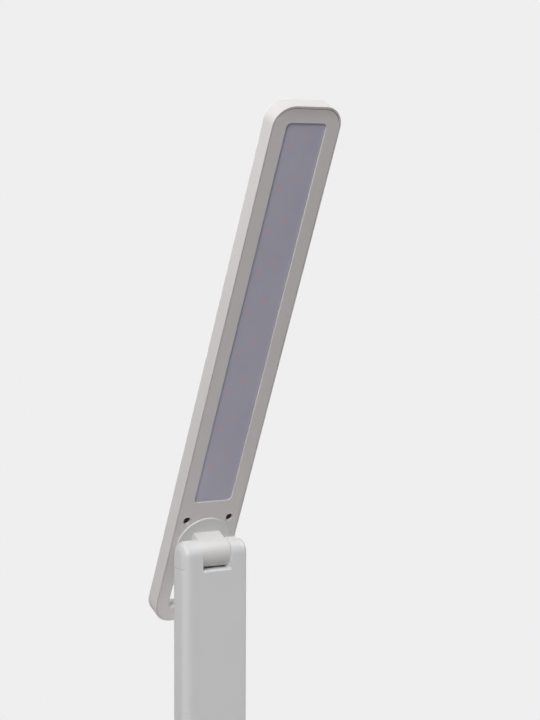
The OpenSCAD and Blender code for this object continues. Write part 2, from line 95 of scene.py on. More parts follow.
# head, measured from the swivel axis along it and from its face into it
FACE_Y = 9.38
HEAD_W, HEAD_T = 38.0, 9.6
HEAD_R = 11.1
BACK_EDGE_R, FRONT_EDGE_R = 1.1, 0.2
HEAD_LOW, HEAD_HIGH = -49.9, 247.5
RIM, END_RIM = 0.6, 1.2
SIDE_GAP, END_GAP, TAIL_GAP = 0.26, 0.35, 0.06
CURL, CURL_LENGTH, CURL_STEPS = 0.9, 7.5, 8
HOLE_BACK_R, HOLE_SEAM, HOLE_LIP = 5.2, 0.5, 0.4
HEAD_WALL = 1.8
TUBE_WALL, TUBE_GAP, TUBE_FOOT, TUBE_FOOT_T = 1.5, 0.15, 4.2, 3
TRAY_BOSS_R, TRAY_BOSS_TOP, TRAY_PILOT_R = 2.6, -4.3, 1
WELL_R, WELL_LOW, WELL_BOSS_R, WELL_BOSS_LOW, WELL_PILOT_R = 2.1, -2.4, 3.4, -4.2, 1.05
BEZEL_T, BEZEL_BOSS_R, BEZEL_BOSS_T = 1.5, 13, 3.0
FLOOR_D = HEAD_T - 1.2
WINDOW_W, WINDOW_LOW, WINDOW_HIGH, WINDOW_R = 22.3, 25.4, 238.7, 2.8
WINDOW_LIP, WINDOW_T = 2, 1.2
LAND_GAP, LAND_DROP = 0.15, 0.8
HOLE_W, HOLE_LOW, HOLE_HIGH, HOLE_R = 23.0, -41.5, -25.0, 2.0
HEAD_SCREW_X, HEAD_SCREW_Z = 12.6, 14.6
DISC_R, DISC_T = 15.5, 0.95
HUB_R = 7.5
HUB_SCREW_IN, HUB_SCREW_TURNS = 4.9, (90, 210, 330)
HUB_PILOT_R, HUB_PILOT_TOP = 1, 2.5

# LED packages behind the window, in two staggered rows
LED_X = 3.55
LED_SHIFT = 2.65
LED_COUNT = 36
LED_TOP = WINDOW_HIGH - 6.8
LED_PITCH = (LED_TOP - WINDOW_LOW - 10.9) / (LED_COUNT - 1)

# base, measured from the table up
BASE_W, BASE_D, BASE_R = 110.0, 180.0, 26.0
BASE_H, COVER_Z, WALL, TOP_EDGE_R = 18.0, 1.6, 2.2, 4.0
CEILING_Z = BASE_H - WALL
TOP_CUT = (15, 30)  # heights of cutters through the top
COLLAR_W, COLLAR_D = BARREL_W + 10, 2 * BARREL_R + 8
COLLAR_R, COLLAR_T, COLLAR_EDGE_R = 5, 1.6, 1.0
TOWER_GAP = 0.6
BOSS_X, BOSS_Y, BOSS_R, BOSS_LOW = 40, 79, 4, 5.3
BOSS_PILOT_R, BOSS_PILOT_TOP = 1.5, 13.6
POST_X, POST_Y, POST_R, POST_LOW = 22, (-63, 81.6), 2.2, 12.2
POST_PILOT_R, POST_PILOT_TOP = 1, 15.2
INLET_W, INLET_H, INLET_R, INLET_Z, INLET_REACH = 9.8, 3.9, 1.9, 13.8, 4
BALLAST_TOP = 9.4
FLANGE_W, FLANGE_D, FLANGE_R, FLANGE_T = 46, 38, 4, 3
FLANGE_SCREW_X, FLANGE_SCREW_Y, FLANGE_SCREW_R = 17, 14, 2.2
BUTTON_Y, BUTTON_R = -66.0, 6.8
BUTTON_RING_R, BUTTON_INNER_R = 7.8, 5.2
LENS_Y, LENS_R = -52.6, 1.2
PAD_IN, PAD_T = 6, 1.4

AT_HEAD = (
    Matrix.Translation(UPPER_HINGE)
    @ Matrix.Rotation(LEAN, 4, "X")
    @ Matrix.Translation((0, FACE_Y, 0))
    @ Matrix.Rotation(math.radians(90), 4, "X")
)
AT_ARM = Matrix.Translation(LOWER_HINGE)
AT_BASE = Matrix.Identity(4)

# ---- camera: its place is measured from the middle of the upper hinge ----

CAMERA_FROM_HINGE = Vector((-488.5, -879.8, 185.1)) * MM
CAMERA_TURN = math.radians(30.793)
CAMERA_PITCH = math.radians(-4.790)
CAMERA_ROLL = math.radians(0.217)
CAMERA_LENS = 97.5


def add_camera():
    """Camera at the viewing angle of the lamp, 31 degrees left of its front."""
    data = bpy.data.cameras.new("camera")
    data.lens = CAMERA_LENS
    data.sensor_width = 36
    data.clip_start = 0.05
    data.clip_end = 50
    camera = bpy.data.objects.new("camera", data)
    bpy.context.scene.collection.objects.link(camera)
    forward = Vector((
        math.sin(CAMERA_TURN) * math.cos(CAMERA_PITCH),
        math.cos(CAMERA_TURN) * math.cos(CAMERA_PITCH),
        math.sin(CAMERA_PITCH),
    ))
    right = Vector((math.cos(CAMERA_TURN), -math.sin(CAMERA_TURN), 0))
    up = right.cross(forward)
    roll = Matrix.Rotation(-CAMERA_ROLL, 3, forward)
    right, up = roll @ right, roll @ up
    place = Matrix((right, up, -forward)).transposed().to_4x4()
    place.translation = UPPER_HINGE * MM + CAMERA_FROM_HINGE
    camera.matrix_world = place
    bpy.context.scene.camera = camera


add_camera()

# ---- node helpers ----


def node(tree, kind, inputs=None, **settings):
    """One shader node with its settings, and its inputs linked or set."""
    made = tree.nodes.new("ShaderNode" + kind)
    for key, value in settings.items():
        setattr(made, key, value)
    for key, value in (inputs or {}).items():
        if isinstance(value, bpy.types.NodeSocket):
            tree.links.new(value, made.inputs[key])
        else:
            made.inputs[key].default_value = value
    return made


def use_group(tree, group, inputs):
    """A node that holds one of the shared groups."""
    return node(tree, "Group", inputs, node_tree=group)


def sums(tree, operation, *values):
    """Result of one Math node."""
    return node(tree, "Math", dict(enumerate(values)), operation=operation).outputs[0]


def blend(tree, mask, under, over):
    """Colour that runs from under to over with a mask; each is a socket or four numbers."""
    return node(tree, "Mix", {0: mask, 6: under, 7: over}, data_type="RGBA").outputs[2]


def between(tree, mask, dark, light):
    """Colour that runs with a mask from one plain colour to another."""
    return blend(tree, mask, dark + (1,), light + (1,))


def spread(tree, value, low, high, start=0.0, end=1.0):
    """Value from start..end put on low..high, with soft ends."""
    return node(tree, "MapRange", {
        "Value": value, "From Min": start, "From Max": end, "To Min": low, "To Max": high,
    }, interpolation_type="SMOOTHSTEP").outputs[0]


def noise(tree, place, per_metre, detail=3.0, rough=0.55):
    """Noise pattern of so many cells a metre."""
    return node(tree, "TexNoise", {
        "Vector": place, "Scale": per_metre, "Detail": detail, "Roughness": rough,
    }).outputs["Fac"]


def new_group(name, inputs, outputs):
    """Empty shader group; inputs are (name, type, value) and outputs are (name, type)."""
    group = bpy.data.node_groups.new(name, "ShaderNodeTree")
    for label, kind, value in inputs:
        socket = group.interface.new_socket(
            label, in_out="INPUT", socket_type="NodeSocket" + kind)
        if value is not None:
            socket.default_value = value
    for label, kind in outputs:
        group.interface.new_socket(label, in_out="OUTPUT", socket_type="NodeSocket" + kind)
    start = group.nodes.new("NodeGroupInput")
    end = group.nodes.new("NodeGroupOutput")
    return group, start, end


def moulded_grain_group():
    """Fine skin of a moulded piece: its height, its slow change of tone and its handling."""
    group, start, end = new_group(
        "moulded_grain",
        [("Vector", "Vector", None), ("Grain", "Float", 4200.0), ("Patches", "Float", 28.0)],
        [("Height", "Float"), ("Tone", "Float"), ("Handling", "Float")])
    place = start.outputs["Vector"]
    fine = noise(group, place, start.outputs["Grain"], 3.0, 0.6)
    pits = node(group, "TexVoronoi", {"Vector": place, "Scale": start.outputs["Grain"]})
    height = sums(group, "MULTIPLY_ADD", pits.outputs["Distance"], 0.45, fine)
    tone = noise(group, place, start.outputs["Patches"], 2.0, 0.5)
    smudge = noise(group, place, 190.0, 4.0, 0.62)
    group.links.new(height, end.inputs["Height"])
    group.links.new(spread(group, tone, 0.0, 1.0, 0.25, 0.75), end.inputs["Tone"])
    group.links.new(spread(group, smudge, 0.0, 1.0, 0.3, 0.75), end.inputs["Handling"])
    return group


def settled_dust_group():
    """Thin dust that lies on faces that look up, broken into specks and soft patches."""
    group, start, end = new_group(
        "settled_dust",
        [("Vector", "Vector", None), ("Normal", "Vector", None), ("Amount", "Float", 0.3)],
        [("Mask", "Float")])
    place = start.outputs["Vector"]
    up = node(group, "SeparateXYZ", {0: start.outputs["Normal"]}).outputs[2]
    facing = spread(group, up, 0.0, 1.0, 0.35, 0.95)
    patches = spread(group, noise(group, place, 55.0, 4.0, 0.6), 0.0, 1.0, 0.4, 0.7)
    specks = spread(group, noise(group, place, 2600.0, 1.0, 0.5), 0.0, 1.0, 0.62, 0.78)
    both = sums(group, "MAXIMUM", sums(group, "MULTIPLY", patches, 0.5), specks)
    mask = sums(group, "MULTIPLY", sums(group, "MULTIPLY", facing, both),
                start.outputs["Amount"])
    group.links.new(mask, end.inputs["Mask"])
    return group


def drawn_lines_group():
    """Fine lines left by drawing or turning metal, and its dull spots."""
    group, start, end = new_group(
        "drawn_lines",
        [("Vector", "Vector", None), ("Lines", "Vector", (60.0, 5000.0, 5000.0))],
        [("Height", "Float"), ("Dull", "Float")])
    along = node(group, "VectorMath", {
        0: start.outputs["Vector"], 1: start.outputs["Lines"]}, operation="MULTIPLY")
    lines = noise(group, along.outputs[0], 1.0, 2.0, 0.6)
    dull = noise(group, start.outputs["Vector"], 420.0, 4.0, 0.6)
    group.links.new(lines, end.inputs["Height"])
    group.links.new(spread(group, dull, 0.0, 1.0, 0.35, 0.7), end.inputs["Dull"])
    return group


def head_frame_group():
    """Place on the head: across it, behind its face and along it, in millimetres."""
    group, start, end = new_group(
        "head_frame", [("Vector", "Vector", None)],
        [("Across", "Float"), ("Deep", "Float"), ("Along", "Float")])
    turned = Matrix.Rotation(-LEAN, 4, "X") @ (-UPPER_HINGE)
    place = node(group, "Mapping", {
        "Vector": start.outputs["Vector"], "Scale": (1 / MM,) * 3,
        "Rotation": (-LEAN, 0, 0), "Location": turned}, vector_type="POINT")
    parts = node(group, "SeparateXYZ", {0: place.outputs[0]})
    group.links.new(parts.outputs[0], end.inputs["Across"])
    group.links.new(sums(group, "SUBTRACT", parts.outputs[1], FACE_Y), end.inputs["Deep"])
    group.links.new(parts.outputs[2], end.inputs["Along"])
    return group


MOULDED_GRAIN = moulded_grain_group()
SETTLED_DUST = settled_dust_group()
DRAWN_LINES = drawn_lines_group()
HEAD_FRAME = head_frame_group()


def new_finish(name, **plain):
    """Material with a Principled shader; plain values go on the shader's own sockets."""
    made = bpy.data.materials.new(name)
    made.use_nodes = True
    tree = made.node_tree
    tree.nodes.clear()
    shader = node(tree, "BsdfPrincipled", plain)
    node(tree, "OutputMaterial", {"Surface": shader.outputs[0]})
    place = node(tree, "TexCoord").outputs["Object"]
    return made, tree, shader, place


def raise_surface(tree, shader, height, microns):
    """Bump of a real depth, in microns, on the shader."""
    bump = node(tree, "Bump", {"Height": height, "Distance": microns * MICRON})
    tree.links.new(bump.outputs[0], shader.inputs["Normal"])


DUST = (0.62, 0.60, 0.56, 1)


def moulded(name, shade, colour, rough, grain, microns, dust=0.0):
    """Moulded plastic or rubber; it drifts from shade to colour over a few centimetres."""
    made, tree, shader, place = new_finish(name)
    skin = use_group(tree, MOULDED_GRAIN, {"Vector": place, "Grain": grain})
    base = between(tree, skin.outputs["Tone"], shade, colour)
    dull = spread(tree, skin.outputs["Handling"], *rough)
    if dust:
        normal = node(tree, "NewGeometry").outputs["Normal"]
        lying = use_group(tree, SETTLED_DUST, {
            "Vector": place, "Normal": normal, "Amount": dust}).outputs["Mask"]
        base = blend(tree, lying, base, DUST)
        dull = sums(tree, "MULTIPLY_ADD", lying, 0.5, dull)
    tree.links.new(base, shader.inputs["Base Color"])
    tree.links.new(dull, shader.inputs["Roughness"])
    raise_surface(tree, shader, skin.outputs["Height"], microns)
    return made


def metal(name, shade, colour, rough, lines, microns):
    """Bare metal with fine lines and duller spots."""
    made, tree, shader, place = new_finish(name, Metallic=1.0)
    drawn = use_group(tree, DRAWN_LINES, {"Vector": place, "Lines": lines})
    tree.links.new(between(tree, drawn.outputs["Dull"], colour, shade),
                   shader.inputs["Base Color"])
    tree.links.new(spread(tree, drawn.outputs["Dull"], *rough), shader.inputs["Roughness"])
    raise_surface(tree, shader, drawn.outputs["Height"], microns)
    return made


# ---- finishes ----

# spots of the LED packages, seen through the window: radii in millimetres and strengths
SPOT_FULL, SPOT_EDGE = 0.8, 3.7
WARM_SPOT, WARM_SHARE = (0.665, 0.53, 0.615, 1), 0.6
COOL_SPOT, COOL_SHARE = (0.565, 0.60, 0.645, 1), 0.35


def milky_window():
    """Milky light window: LED packages show through it as faint warm and cool spots."""
    made, tree, shader, place = new_finish("milky_window")
    here = use_group(tree, HEAD_FRAME, {"Vector": place})
    across, along = here.outputs["Across"], here.outputs["Along"]
    warm_all, cool_all = None, None
    for side, first in ((LED_X - LED_SHIFT, LED_TOP),
                        (-LED_X - LED_SHIFT, LED_TOP - LED_PITCH)):
        off_x = sums(tree, "SUBTRACT", across, side)
        from_first = sums(tree, "SUBTRACT", along, first)
        off_z = sums(tree, "WRAP", from_first, LED_PITCH, -LED_PITCH)
        far = sums(tree, "SQRT", sums(
            tree, "ADD", sums(tree, "MULTIPLY", off_x, off_x),
            sums(tree, "MULTIPLY", off_z, off_z)))
        spot = spread(tree, far, 1.0, 0.0, SPOT_FULL, SPOT_EDGE)
        turn = sums(tree, "ABSOLUTE",
                    sums(tree, "WRAP", from_first, 2 * LED_PITCH, -2 * LED_PITCH))
        is_warm = sums(tree, "LESS_THAN", turn, LED_PITCH)
        warm = sums(tree, "MULTIPLY", spot, is_warm)
        cool = sums(tree, "SUBTRACT", spot, warm)
        warm_all = warm if warm_all is None else sums(tree, "MAXIMUM", warm_all, warm)
        cool_all = cool if cool_all is None else sums(tree, "MAXIMUM", cool_all, cool)
    inside = sums(tree, "GREATER_THAN", along, LED_TOP - (LED_COUNT - 0.5) * LED_PITCH)
    skin = use_group(tree, MOULDED_GRAIN, {
        "Vector": place, "Grain": 5200.0, "Patches": 45.0})
    base = between(tree, skin.outputs["Tone"], (0.545, 0.54, 0.665), (0.58, 0.575, 0.695))
    for spots, share, colour in ((warm_all, WARM_SHARE, WARM_SPOT),
                                 (cool_all, COOL_SHARE, COOL_SPOT)):
        seen = sums(tree, "MULTIPLY", sums(tree, "MULTIPLY", spots, inside), share)
        base = blend(tree, seen, base, colour)
    tree.links.new(base, shader.inputs["Base Color"])
    tree.links.new(spread(tree, skin.outputs["Handling"], 0.30, 0.40),
                   shader.inputs["Roughness"])
    raise_surface(tree, shader, skin.outputs["Height"], 4)
    return made


def circuit_board(name, mask_colour, track_colour):
    """Lacquered board: tracks and pads show through the lacquer."""
    made, tree, shader, place = new_finish(name)
    cells = node(tree, "TexBrick", {
        "Vector": place, "Scale": 120.0, "Mortar Size": 0.035, "Mortar Smooth": 0.3})
    pads = node(tree, "TexVoronoi", {"Vector": place, "Scale": 260.0})
    dots = spread(tree, pads.outputs["Distance"], 1.0, 0.0, 0.10, 0.16)
    tracks = sums(tree, "MAXIMUM", sums(tree, "MULTIPLY", cells.outputs["Fac"], 0.7), dots)
    tree.links.new(between(tree, tracks, mask_colour, track_colour),
                   shader.inputs["Base Color"])
    tree.links.new(spread(tree, noise(tree, place, 300.0), 0.22, 0.36),
                   shader.inputs["Roughness"])
    raise_surface(tree, shader, tracks, 30)
    return made


def pouch_foil():
    """Silver-grey foil of the pouch cell, with soft creases; its colour is painted darker
    along them as shade.
    """
    made, tree, shader, place = new_finish("pouch_foil", Metallic=0.55)
    creases = node(tree, "TexVoronoi", {"Vector": place, "Scale": 160.0},
                   feature="DISTANCE_TO_EDGE")
    soft = spread(tree, creases.outputs["Distance"], 0.0, 1.0, 0.0, 0.25)
    # painted shade: the colour darkens along the creases; the same mask raises the bump
    tree.links.new(between(tree, soft, (0.60, 0.62, 0.66), (0.74, 0.76, 0.78)),
                   shader.inputs["Base Color"])
    tree.links.new(spread(tree, noise(tree, place, 500.0), 0.3, 0.5),
                   shader.inputs["Roughness"])
    raise_surface(tree, shader, soft, 120)
    return made


def led_package(name, phosphor, rim):
    """LED package: grainy phosphor, a little paler where the silicone is thin."""
    made, tree, shader, place = new_finish(name)
    grains = spread(tree, noise(tree, place, 9000.0, 2.0), 0.0, 1.0, 0.3, 0.7)
    tree.links.new(between(tree, grains, phosphor, rim), shader.inputs["Base Color"])
    tree.links.new(spread(tree, noise(tree, place, 1500.0), 0.25, 0.45),
                   shader.inputs["Roughness"])
    raise_surface(tree, shader, grains, 6)
    return made


def clear_pipe():
    """Clear light pipe with a faintly ground end."""
    made, tree, shader, place = new_finish("clear_pipe", IOR=1.49)
    shader.inputs["Transmission Weight"].default_value = 1.0
    cloud = noise(tree, place, 2500.0)
    tree.links.new(between(tree, cloud, (0.88, 0.92, 0.93), (0.95, 0.97, 0.98)),
                   shader.inputs["Base Color"])
    tree.links.new(spread(tree, cloud, 0.08, 0.22), shader.inputs["Roughness"])
    raise_surface(tree, shader, cloud, 4)
    return made


WHITE_SHADE, WHITE = (0.800, 0.802, 0.810), (0.820, 0.823, 0.832)
# the head's copy of the white plastic, brighter and pinker: painted warm light
HEAD_WARM_LIT_SHADE, HEAD_WARM_LIT_WHITE = (0.822, 0.793, 0.788), (0.842, 0.813, 0.808)
# the knuckle's copy of the white plastic, warmer and yellower: painted warm reflected light
NECK_WARM_LIT_SHADE, NECK_WARM_LIT_WHITE = (0.805, 0.800, 0.785), (0.825, 0.820, 0.806)

# each finish's maker and what it is given: two colours, then for plastics and metals the
# range of roughness, the cells or lines a metre, the bump in microns and any dust
MADE_AS = {
    "white_plastic": (moulded, WHITE_SHADE, WHITE, (0.33, 0.44), 4200.0, 12, 0.10),
    # the knuckle: the white plastic tinted as painted warm reflected light
    "knuckle_plastic_painted_warm_light": (moulded, NECK_WARM_LIT_SHADE, NECK_WARM_LIT_WHITE, (0.40, 0.52), 4200.0, 12, 0.06),
    # the head's pieces: the white plastic tinted as painted warm light
    "head_plastic_painted_warm_light": (moulded, HEAD_WARM_LIT_SHADE, HEAD_WARM_LIT_WHITE, (0.40, 0.52), 4200.0, 12, 0.06),
    "grey_rubber": (moulded, (0.050, 0.050, 0.053), (0.066, 0.066, 0.070), (0.72, 0.88),
                    1800.0, 60, 0.25),
    "bright_steel": (metal, (0.50, 0.51, 0.52), (0.66, 0.67, 0.68), (0.24, 0.42),
                     (60.0, 5000.0, 5000.0), 6),
    "dark_screw_steel": (metal, (0.040, 0.030, 0.024), (0.085, 0.066, 0.052), (0.42, 0.62),
                         (4000.0, 4000.0, 4000.0), 8),
    "nylon": (moulded, (0.76, 0.755, 0.73), (0.80, 0.795, 0.77), (0.34, 0.46), 5200.0, 6),
    "green_board": (circuit_board, (0.015, 0.13, 0.055), (0.06, 0.27, 0.11)),
    "white_board": (circuit_board, (0.80, 0.81, 0.80), (0.72, 0.72, 0.69)),
    "white_frame": (moulded, (0.84, 0.84, 0.84), (0.87, 0.87, 0.87), (0.35, 0.5),
                    5200.0, 8),
    "black_plastic": (moulded, (0.018, 0.018, 0.018), (0.026, 0.026, 0.026), (0.4, 0.6),
                      4200.0, 10),
    "wire_red": (moulded, (0.36, 0.022, 0.018), (0.46, 0.035, 0.025), (0.4, 0.55),
                 2400.0, 10),
    "led_warm": (led_package, (0.78, 0.45, 0.07), (0.86, 0.58, 0.16)),
    "led_cool": (led_package, (0.78, 0.74, 0.22), (0.86, 0.84, 0.40)),
}
FINISH = {name: make(name, *values) for name, (make, *values) in MADE_AS.items()}
FINISH["milky_diffuser"] = milky_window()
FINISH["cell_foil"] = pouch_foil()
FINISH["clear_lens"] = clear_pipe()

for part in frame["record"]["subparts"]:
    shown = frame["nodes"][part["node"]]
    shown.data.materials.clear()
    shown.data.materials.append(FINISH[part["material_slot"]])

# ---- shaping helpers; all shapes are in millimetres until they are placed ----


def shift(bm, x, y, z):
    """Moves a shape."""
    bmesh.ops.translate(bm, vec=(x, y, z), verts=bm.verts)


def quarter_turn(bm, axis):
    """Turns a shape by 90 degrees about an axis."""
    bmesh.ops.rotate(bm, cent=(0, 0, 0), verts=bm.verts,
                     matrix=Matrix.Rotation(math.radians(90), 3, axis))


def sheet(w, length, corner, z, centre, steps):
    """Flat face with round corners, at height z."""
    bm = bmesh.new()
    bmesh.ops.create_grid(bm, x_segments=1, y_segments=1, size=0.5)
    bmesh.ops.scale(bm, vec=(w, length, 1), verts=bm.verts)
    shift(bm, *centre, z)
    bmesh.ops.bevel(bm, geom=bm.verts[:], offset=corner, offset_type="OFFSET",
                    affect="VERTICES", segments=steps, profile=0.5, material=-1)
    return bm


def pull_up(bm, height):
    """Draws a flat shape out upward."""
    raised = bmesh.ops.extrude_face_region(bm, geom=bm.faces[:])["geom"]
    bmesh.ops.translate(bm, vec=(0, 0, height),
                        verts=[v for v in raised if isinstance(v, bmesh.types.BMVert)])


def plate(w, length, corner, low, high, centre=(0, 0), steps=14):
    """Flat plate with round corners in plan, between two heights."""
    bm = sheet(w, length, corner, low, centre, steps)
    pull_up(bm, high - low)
    bmesh.ops.recalc_face_normals(bm, faces=bm.faces)
    return bm


def soften(bm, chosen, radius, steps):
    """Rounds the edges for which chosen(edge) is true."""
    edges = [e for e in bm.edges if chosen(e)]
    bmesh.ops.bevel(bm, geom=edges, offset=radius, offset_type="OFFSET", affect="EDGES",
                    segments=steps, profile=0.5, clamp_overlap=True, material=-1)


def at_height(z):
    """Test for edges that lie at one height."""
    return lambda e: all(abs(v.co.z - z) < 0.01 for v in e.verts)


def runs_across(e):
    """True for an edge that runs along X."""
    return abs(e.verts[0].co.x - e.verts[1].co.x) > 1


def outward(side, low, high):
    """Two places on one side of the middle, the smaller first."""
    return sorted((side * low, side * high))


def rod(r, low, high, centre=(0, 0), steps=48, axis="Z"):
    """Round rod between two places on the Z axis or the X axis."""
    bm = bmesh.new()
    bmesh.ops.create_cone(bm, cap_ends=True, cap_tris=False, segments=steps,
                          radius1=r, radius2=r, depth=high - low)
    shift(bm, 0, 0, (low + high) / 2)
    if axis == "X":
        quarter_turn(bm, "Y")
        shift(bm, 0, *centre)
    else:
        shift(bm, *centre, 0)
    return bm


def block(low, high):
    """Square-edged block between two corners."""
    bm = bmesh.new()
    bmesh.ops.create_cube(bm, size=1)
    size = Vector(high) - Vector(low)
    bmesh.ops.scale(bm, vec=size, verts=bm.verts)
    shift(bm, *((Vector(high) + Vector(low)) / 2))
    return bm


def scratch(bm):
    """Throw-away object that holds a bmesh."""
    mesh = bpy.data.meshes.new("scratch")
    bm.to_mesh(mesh)
    bm.free()
    made = bpy.data.objects.new("scratch", mesh)
    bpy.context.scene.collection.objects.link(made)
    return made


def carve(bm, *tools, operation="DIFFERENCE"):
    """The first shape with the others cut from it, joined to it or kept in common."""
    for tool in tools:
        body, cutter = scratch(bm), scratch(tool)
        step = body.modifiers.new("carve", "BOOLEAN")
        step.operation = operation
        step.solver = "EXACT"
        step.object = cutter
        graph = bpy.context.evaluated_depsgraph_get()
        result = bpy.data.meshes.new_from_object(body.evaluated_get(graph))
        bm = bmesh.new()
        bm.from_mesh(result)
        bpy.data.meshes.remove(result)
        for used in (body, cutter):
            mesh = used.data
            bpy.data.objects.remove(used)
            bpy.data.meshes.remove(mesh)
    bmesh.ops.remove_doubles(bm, verts=bm.verts, dist=0.002)
    bmesh.ops.dissolve_degenerate(bm, dist=0.002, edges=bm.edges)
    return bm


def join(bm, *others):
    """The first shape joined with the others."""
    return carve(bm, *others, operation="UNION")


def place_piece(name, bm, place, body, finish, stands_for, edge, steps=3, angle=32,
                look=None):
    """Puts a shape into the lamp, rounds its sharp edges and gives it its finish."""
    bmesh.ops.transform(bm, matrix=Matrix.Scale(MM, 4) @ place, verts=bm.verts)
    mesh = bpy.data.meshes.new(name)
    bm.to_mesh(mesh)
    bm.free()
    mesh.shade_smooth()
    piece = bpy.data.objects.new(name, mesh)
    bpy.context.scene.collection.objects.link(piece)
    mesh.materials.append(FINISH[look or finish])
    soft = piece.modifiers.new("soft_edges", "BEVEL")
    soft.width = edge * MM
    soft.segments = steps
    soft.limit_method = "ANGLE"
    soft.angle_limit = math.radians(angle)
    soft.harden_normals = True
    soft.use_clamp_overlap = True
    even = piece.modifiers.new("even_shading", "WEIGHTED_NORMAL")
    even.keep_sharp = True
    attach(piece, body)
    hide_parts(*stands_for)


# ---- arm ----


def arm_form():
    """Outer form of the arm: its round-cornered section, turned over at both ends."""
    low, high = ARM_END_IN, ARM_LENGTH - ARM_END_IN
    bm = sheet(ARM_W, ARM_T, ARM_R, low, (0, 0), 8)
    bmesh.ops.bisect_plane(bm, geom=bm.verts[:] + bm.edges[:] + bm.faces[:],
                           plane_co=(0, 0, 0), plane_no=(0, 1, 0))
    bmesh.ops.dissolve_edges(bm, edges=[e for e in bm.edges if len(e.link_faces) == 2])
    pull_up(bm, high - low)
    bmesh.ops.delete(bm, geom=[f for f in bm.faces if abs(f.normal.z) > 0.9],
                     context="FACES_ONLY")
    for z, turn in ((high, -math.pi), (low, math.pi)):
        half = [e for e in bm.edges
                if at_height(z)(e) and all(v.co.y < 0.001 for v in e.verts)]
        verts = list({v for e in half for v in e.verts})
        bmesh.ops.spin(bm, geom=half + verts, cent=(0, 0, z), axis=(1, 0, 0), angle=turn,
                       steps=28, use_merge=False, use_duplicate=False)
        bmesh.ops.remove_doubles(bm, verts=bm.verts, dist=0.005)
    bmesh.ops.recalc_face_normals(bm, faces=bm.faces)
    return bm


def pin_bore(z):
    """Cutter for a hinge pin's bore at height z."""
    return rod(PIN_BORE_R, -PAST_SIDES, PAST_SIDES, (0, z), axis="X")


def end_block(low, high, top, inner):
    """Block at one end of the arm: its z runs from inner, measured from that hinge axis."""
    first, last = (ARM_LENGTH - inner, ARM_LENGTH + PAST) if top else (-PAST, inner)
    return block((*low, first), (*high, last))


def arm_shell():
    """Main moulding of the arm, with a notch, bores and cap seats at both ends."""
    bm = arm_form()
    half = NOTCH_W / 2
    inner, behind = LEDGE + LEDGE_ROUND, LEDGE_ROUND - ARM_T / 2
    for top in (True, False):
        notch = end_block((-half, -PAST), (half, PAST), top, LEDGE)
        # the notch meets the arm's front in a small round
        rounding = carve(end_block((-half, -PAST), (half, behind), top, inner),
                         rod(LEDGE_ROUND, -half - 1, half + 1,
                             (behind, ARM_LENGTH - inner if top else inner), axis="X"))
        bm = carve(bm, notch, rounding)
        for side in (-1, 1):
            low, high = outward(side, CAP_X - SEAM, PAST_SIDES)
            bm = carve(bm, end_block((low, -PAST), (high, PAST), top, CAP_DROP + CAP_SEAM))
    pocket = plate(COVER_W + 2 * SEAM, ARM_LENGTH - 2 * WEB + 2 * SEAM, COVER_R + SEAM,
                   -COVER_T, 2, (0, -ARM_LENGTH / 2))
    inside = plate(ARM_W - 2 * ARM_WALL, ARM_LENGTH - 2 * WEB, COVER_R, ARM_WALL - ARM_T,
                   0.1 - COVER_T, (0, -ARM_LENGTH / 2))
    for tool in (pocket, inside):
        bmesh.ops.transform(tool, matrix=on_arm_back(), verts=tool.verts)
    bm = carve(bm, pocket, inside)
    for z in (0, ARM_LENGTH):
        bm = carve(bm, pin_bore(z))
        for side in (1, -1):
            bm = carve(bm, rod(RECESS_R, *outward(side, RECESS_X, PAST_SIDES), (0, z),
                               axis="X"))
    bm = carve(bm, rod(WIRE_BORE_R, -PAST, ARM_LENGTH + PAST, steps=24))
    place_piece("arm_moulding", bm, AT_ARM, "arm", "white_plastic", ["arm_shell"],
                edge=0.16, steps=2)


def on_arm_back():
    """Turns a plate drawn flat so that its top looks out of the arm's back."""
    return Matrix.Translation((0, ARM_T / 2, 0)) @ Matrix.Rotation(math.radians(-90), 4, "X")


def arm_cover():
    """Back cover of the arm, with four sunk screw holes."""
    bm = plate(COVER_W, ARM_LENGTH - 2 * WEB, COVER_R, -COVER_T, 0, (0, -ARM_LENGTH / 2))
    places = [(x, -z) for x in (-COVER_SCREW_X, COVER_SCREW_X)
              for z in (COVER_SCREW_IN, ARM_LENGTH - COVER_SCREW_IN)]
    for spot in places:
        bm = join(bm, rod(COVER_BOSS_R, COVER_BOSS_LOW, -1, spot, 32))
    for spot in places:
        bm = carve(bm, rod(COVER_WELL_R, COVER_WELL_LOW, 1, spot, 32),
                   rod(COVER_PILOT_R, -13, 1, spot, 24))
    bmesh.ops.transform(bm, matrix=on_arm_back(), verts=bm.verts)
    place_piece("arm_back_cover", bm, AT_ARM, "arm", "white_plastic", ["arm_cover"],
                edge=0.16, steps=2)


def side_cap(name, side, top):
    """Cap over one end of a hinge pin, flush with the arm's side."""
    low, high = outward(side, CAP_X, PAST_SIDES)
    bm = carve(arm_form(), end_block((low, -PAST), (high, PAST), top, CAP_DROP),
               operation="INTERSECT")
    bm = join(bm, rod(PLUG_R, *outward(side, CAP_X - 0.6, CAP_X + 0.3),
                      (0, ARM_LENGTH if top else 0), axis="X"))
    place_piece(name + "_lid", bm, AT_ARM, "arm", "white_plastic", [name],
                edge=0.12, steps=2)


arm_shell()
arm_cover()
for level, top in (("upper", True), ("lower", False)):
    side_cap(level + "_cap_left", -1, top)
    side_cap(level + "_cap_right", 1, top)


# ---- head: drawn flat, x across, y along the head, z out of its face ----


def head_outline(side, far_end, tail_end, low, high):
    """Plate of the head's outline, drawn in by margins at the sides, far end and tail."""
    first, last = HEAD_LOW + tail_end, HEAD_HIGH - far_end
    return plate(HEAD_W - 2 * side, last - first, HEAD_R - side, low, high,
                 (0, (first + last) / 2), 20)


